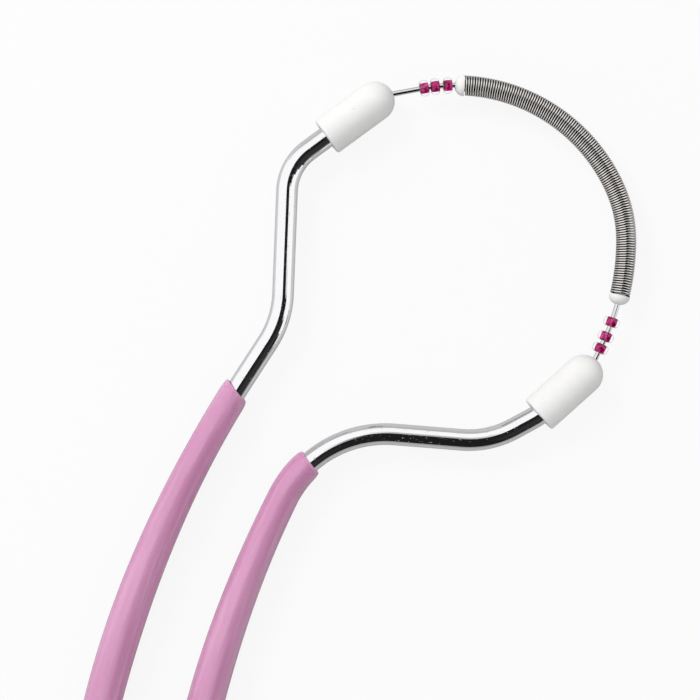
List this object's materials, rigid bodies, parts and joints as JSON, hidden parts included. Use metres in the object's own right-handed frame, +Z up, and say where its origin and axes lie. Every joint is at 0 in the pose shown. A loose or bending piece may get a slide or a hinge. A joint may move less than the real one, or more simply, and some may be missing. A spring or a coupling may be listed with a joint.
{
  "type": "facial hair removal spring",
  "caption": "Hand-held hair removal tool: a bowed coil spring with beads between the capped ends of a bent chrome rod with a pink sleeved U handle.",
  "frame": {"origin": "bottom centre of the whole tool's box, on the surface that it lies on", "axes": "+Y along the handle towards the head, +Z up from the surface that the tool lies on, +X towards the right arm"},
  "size_m": [0.0702, 0.162, 0.0064],
  "materials": {
    "polished_chrome": "polished chrome plate",
    "pink_plastic": "smooth glossy pink sleeve",
    "white_plastic": "smooth white, soft sheen",
    "bright_wire": "drawn bright wire",
    "spring_steel": "close wound spring wire",
    "lined_glass": "clear glass with a magenta lining"
  },
  "bodies": {
    "frame": {"frame_rod": "polished_chrome", "left_sleeve": "pink_plastic", "right_sleeve": "pink_plastic", "left_cap": "white_plastic", "right_cap": "white_plastic", "core_wire": "bright_wire", "coil_spring": "spring_steel"},
    "left_spring_plug_body": {"left_spring_plug": "white_plastic"},
    "right_spring_plug_body": {"right_spring_plug": "white_plastic"},
    "left_bead_1_body": {"left_bead_1": "lined_glass"},
    "left_bead_2_body": {"left_bead_2": "lined_glass"},
    "left_bead_3_body": {"left_bead_3": "lined_glass"},
    "right_bead_1_body": {"right_bead_1": "lined_glass"},
    "right_bead_2_body": {"right_bead_2": "lined_glass"},
    "right_bead_3_body": {"right_bead_3": "lined_glass"}
  },
  "joints": [
    {"name": "left_spring_plug_turn", "type": "hinge", "parent": "frame", "child": "left_spring_plug_body", "pos_m": [0.00111, 0.0789, 0.0032], "axis": [0.9826, 0.1857, 0], "continuous": true},
    {"name": "right_spring_plug_turn", "type": "hinge", "parent": "frame", "child": "right_spring_plug_body", "pos_m": [0.03332, 0.0522, 0.0032], "axis": [0.0133, -0.9999, 0], "continuous": true},
    {"name": "left_bead_1_turn", "type": "hinge", "parent": "frame", "child": "left_bead_1_body", "pos_m": [-0.00168, 0.07823, 0.0032], "axis": [0.9594, 0.2821, 0], "continuous": true},
    {"name": "left_bead_2_turn", "type": "hinge", "parent": "frame", "child": "left_bead_2_body", "pos_m": [-0.00362, 0.07758, 0.0032], "axis": [0.9357, 0.3528, 0], "continuous": true},
    {"name": "left_bead_3_turn", "type": "hinge", "parent": "frame", "child": "left_bead_3_body", "pos_m": [-0.00526, 0.0769, 0.0032], "axis": [0.912, 0.4101, 0], "continuous": true},
    {"name": "right_bead_1_turn", "type": "hinge", "parent": "frame", "child": "right_bead_1_body", "pos_m": [0.0331, 0.04747, 0.0032], "axis": [-0.1074, -0.9942, 0], "continuous": true},
    {"name": "right_bead_2_turn", "type": "hinge", "parent": "frame", "child": "right_bead_2_body", "pos_m": [0.03274, 0.04497, 0.0032], "axis": [-0.1736, -0.9848, 0], "continuous": true},
    {"name": "right_bead_3_turn", "type": "hinge", "parent": "frame", "child": "right_bead_3_body", "pos_m": [0.03233, 0.04292, 0.0032], "axis": [-0.2077, -0.9782, 0], "continuous": true}
  ],
  "couplings": [
    {"joint": "right_spring_plug_turn", "follows": "left_spring_plug_turn", "ratio": 1}
  ]
}
